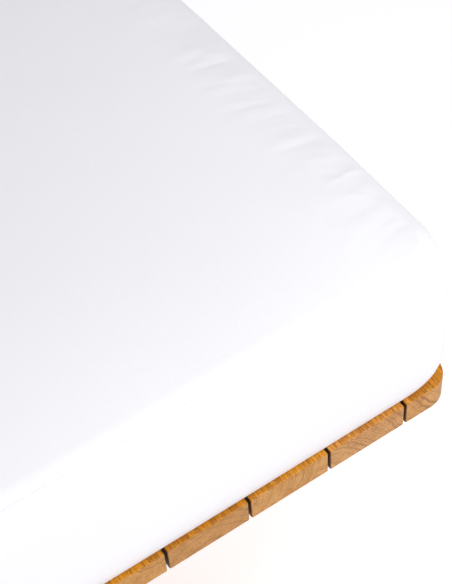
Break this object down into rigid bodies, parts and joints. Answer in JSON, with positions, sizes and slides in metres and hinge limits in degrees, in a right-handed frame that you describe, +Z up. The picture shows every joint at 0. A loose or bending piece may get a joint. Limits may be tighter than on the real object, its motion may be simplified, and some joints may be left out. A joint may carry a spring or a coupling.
{
  "type": "folding massage table",
  "caption": "Folding treatment table with a thick white padded top on slatted hardwood decks, braced folding legs with sliding extensions, carry handles and end sockets.",
  "frame": {"origin": "on the floor, under the middle of the open table, with the legs at their lowest setting", "axes": "+X along the table towards the right half's end, +Y across the table towards its back side, +Z up; the two halves meet at X = 0"},
  "size_m": [1.88, 0.7, 0.6],
  "materials": {
    "cotton_cover": "matt, fine plain weave",
    "foam": "matt open-cell foam",
    "grip_tape": "looped strip",
    "deck_hardwood": "oiled, satin",
    "frame_hardwood": "oiled, satin",
    "leg_hardwood": "oiled, satin",
    "zinc_steel": "bright zinc plate",
    "dark_steel": "satin black powder coat",
    "hinge_brass": "brushed",
    "knob_plastic": "moulded, fine matt",
    "foot_rubber": "matt"
  },
  "bodies": {
    "left_half": {"left_fitted_cover": "cotton_cover", "left_foam_pad": "foam", "left_pad_grip_strips": "grip_tape", "left_deck_slats": "deck_hardwood", "left_end_slat": "deck_hardwood", "left_front_rail": "frame_hardwood", "left_back_rail": "frame_hardwood", "left_end_rail": "frame_hardwood", "left_centre_rail": "frame_hardwood", "left_socket_bushes": "zinc_steel", "left_wood_screws": "zinc_steel", "left_frame_bolts": "dark_steel", "left_pivot_bolts": "dark_steel", "left_hinge_leaves": "hinge_brass", "left_handle_brackets": "dark_steel", "hinge_pins": "zinc_steel", "latch_screw": "zinc_steel"},
    "right_half": {"right_fitted_cover": "cotton_cover", "right_foam_pad": "foam", "right_pad_grip_strips": "grip_tape", "right_deck_slats": "deck_hardwood", "right_end_slat": "deck_hardwood", "right_front_rail": "frame_hardwood", "right_back_rail": "frame_hardwood", "right_end_rail": "frame_hardwood", "right_centre_rail": "frame_hardwood", "right_socket_bushes": "zinc_steel", "right_wood_screws": "zinc_steel", "right_frame_bolts": "dark_steel", "right_pivot_bolts": "dark_steel", "right_hinge_leaves": "hinge_brass", "right_handle_brackets": "dark_steel", "latch_peg": "zinc_steel"},
    "left_legs": {"left_leg_posts": "leg_hardwood", "left_leg_crossbar": "leg_hardwood", "left_clamp_bolts": "dark_steel"},
    "left_front_extension": {"left_front_leg_extension": "leg_hardwood", "left_front_foot": "foot_rubber"},
    "left_front_clamp_knob": {"left_front_knob": "knob_plastic"},
    "left_back_extension": {"left_back_leg_extension": "leg_hardwood", "left_back_foot": "foot_rubber"},
    "left_back_clamp_knob": {"left_back_knob": "knob_plastic"},
    "left_upper_links": {"left_upper_braces": "dark_steel"},
    "left_lower_links": {"left_lower_braces": "dark_steel", "left_brace_rivets": "zinc_steel"},
    "left_handle": {"left_carry_handle": "dark_steel"},
    "right_legs": {"right_leg_posts": "leg_hardwood", "right_leg_crossbar": "leg_hardwood", "right_clamp_bolts": "dark_steel"},
    "right_front_extension": {"right_front_leg_extension": "leg_hardwood", "right_front_foot": "foot_rubber"},
    "right_front_clamp_knob": {"right_front_knob": "knob_plastic"},
    "right_back_extension": {"right_back_leg_extension": "leg_hardwood", "right_back_foot": "foot_rubber"},
    "right_back_clamp_knob": {"right_back_knob": "knob_plastic"},
    "right_upper_links": {"right_upper_braces": "dark_steel"},
    "right_lower_links": {"right_lower_braces": "dark_steel", "right_brace_rivets": "zinc_steel"},
    "right_handle": {"right_carry_handle": "dark_steel"},
    "hook": {"latch_hook": "zinc_steel"}
  },
  "joints": [
    {"name": "table_fold", "type": "hinge", "parent": "left_half", "child": "right_half", "pos_m": [0, 0, 0.368], "axis": [0, 1, 0], "range_deg": [0, 180]},
    {"name": "left_leg_fold", "type": "hinge", "parent": "left_half", "child": "left_legs", "pos_m": [-0.73, 0, 0.43], "axis": [0, 1, 0], "range_deg": [-90, 0]},
    {"name": "left_upper_brace_fold", "type": "hinge", "parent": "left_half", "child": "left_upper_links", "pos_m": [-0.48, 0, 0.43], "axis": [0, 1, 0], "range_deg": [0, 45]},
    {"name": "left_lower_brace_fold", "type": "hinge", "parent": "left_legs", "child": "left_lower_links", "pos_m": [-0.73, 0, 0.18], "axis": [0, 1, 0], "range_deg": [-45, 0]},
    {"name": "left_front_leg_extend", "type": "slide", "parent": "left_legs", "child": "left_front_extension", "axis": [0, 0, -1], "range_m": [0, 0.18]},
    {"name": "left_front_knob_turn", "type": "hinge", "parent": "left_legs", "child": "left_front_clamp_knob", "pos_m": [-0.73, -0.18, 0.06], "axis": [0, -1, 0], "range_deg": [0, 540]},
    {"name": "left_back_leg_extend", "type": "slide", "parent": "left_legs", "child": "left_back_extension", "axis": [0, 0, -1], "range_m": [0, 0.18]},
    {"name": "left_back_knob_turn", "type": "hinge", "parent": "left_legs", "child": "left_back_clamp_knob", "pos_m": [-0.73, 0.18, 0.06], "axis": [0, 1, 0], "range_deg": [0, 540]},
    {"name": "left_handle_swing", "type": "hinge", "parent": "left_half", "child": "left_handle", "pos_m": [-0.47, -0.285, 0.43], "axis": [-1, 0, 0], "range_deg": [0, 90]},
    {"name": "right_leg_fold", "type": "hinge", "parent": "right_half", "child": "right_legs", "pos_m": [0.73, 0, 0.43], "axis": [0, 1, 0], "range_deg": [0, 90]},
    {"name": "right_upper_brace_fold", "type": "hinge", "parent": "right_half", "child": "right_upper_links", "pos_m": [0.48, 0, 0.43], "axis": [0, 1, 0], "range_deg": [-45, 0]},
    {"name": "right_lower_brace_fold", "type": "hinge", "parent": "right_legs", "child": "right_lower_links", "pos_m": [0.73, 0, 0.18], "axis": [0, 1, 0], "range_deg": [0, 45]},
    {"name": "right_front_leg_extend", "type": "slide", "parent": "right_legs", "child": "right_front_extension", "axis": [0, 0, -1], "range_m": [0, 0.18]},
    {"name": "right_front_knob_turn", "type": "hinge", "parent": "right_legs", "child": "right_front_clamp_knob", "pos_m": [0.73, -0.18, 0.06], "axis": [0, -1, 0], "range_deg": [0, 540]},
    {"name": "right_back_leg_extend", "type": "slide", "parent": "right_legs", "child": "right_back_extension", "axis": [0, 0, -1], "range_m": [0, 0.18]},
    {"name": "right_back_knob_turn", "type": "hinge", "parent": "right_legs", "child": "right_back_clamp_knob", "pos_m": [0.73, 0.18, 0.06], "axis": [0, 1, 0], "range_deg": [0, 540]},
    {"name": "right_handle_swing", "type": "hinge", "parent": "right_half", "child": "right_handle", "pos_m": [0.47, -0.285, 0.43], "axis": [-1, 0, 0], "range_deg": [0, 90]},
    {"name": "latch_swing", "type": "hinge", "parent": "left_half", "child": "hook", "pos_m": [-0.84, -0.278, 0.4], "axis": [0, 1, 0], "range_deg": [0, 90]}
  ],
  "couplings": [
    {"joint": "left_leg_fold", "follows": "table_fold", "ratio": -0.5},
    {"joint": "left_upper_brace_fold", "follows": "table_fold", "ratio": 0.25},
    {"joint": "left_lower_brace_fold", "follows": "table_fold", "ratio": -0.25},
    {"joint": "right_leg_fold", "follows": "table_fold", "ratio": 0.5},
    {"joint": "right_upper_brace_fold", "follows": "table_fold", "ratio": -0.25},
    {"joint": "right_lower_brace_fold", "follows": "table_fold", "ratio": 0.25}
  ]
}
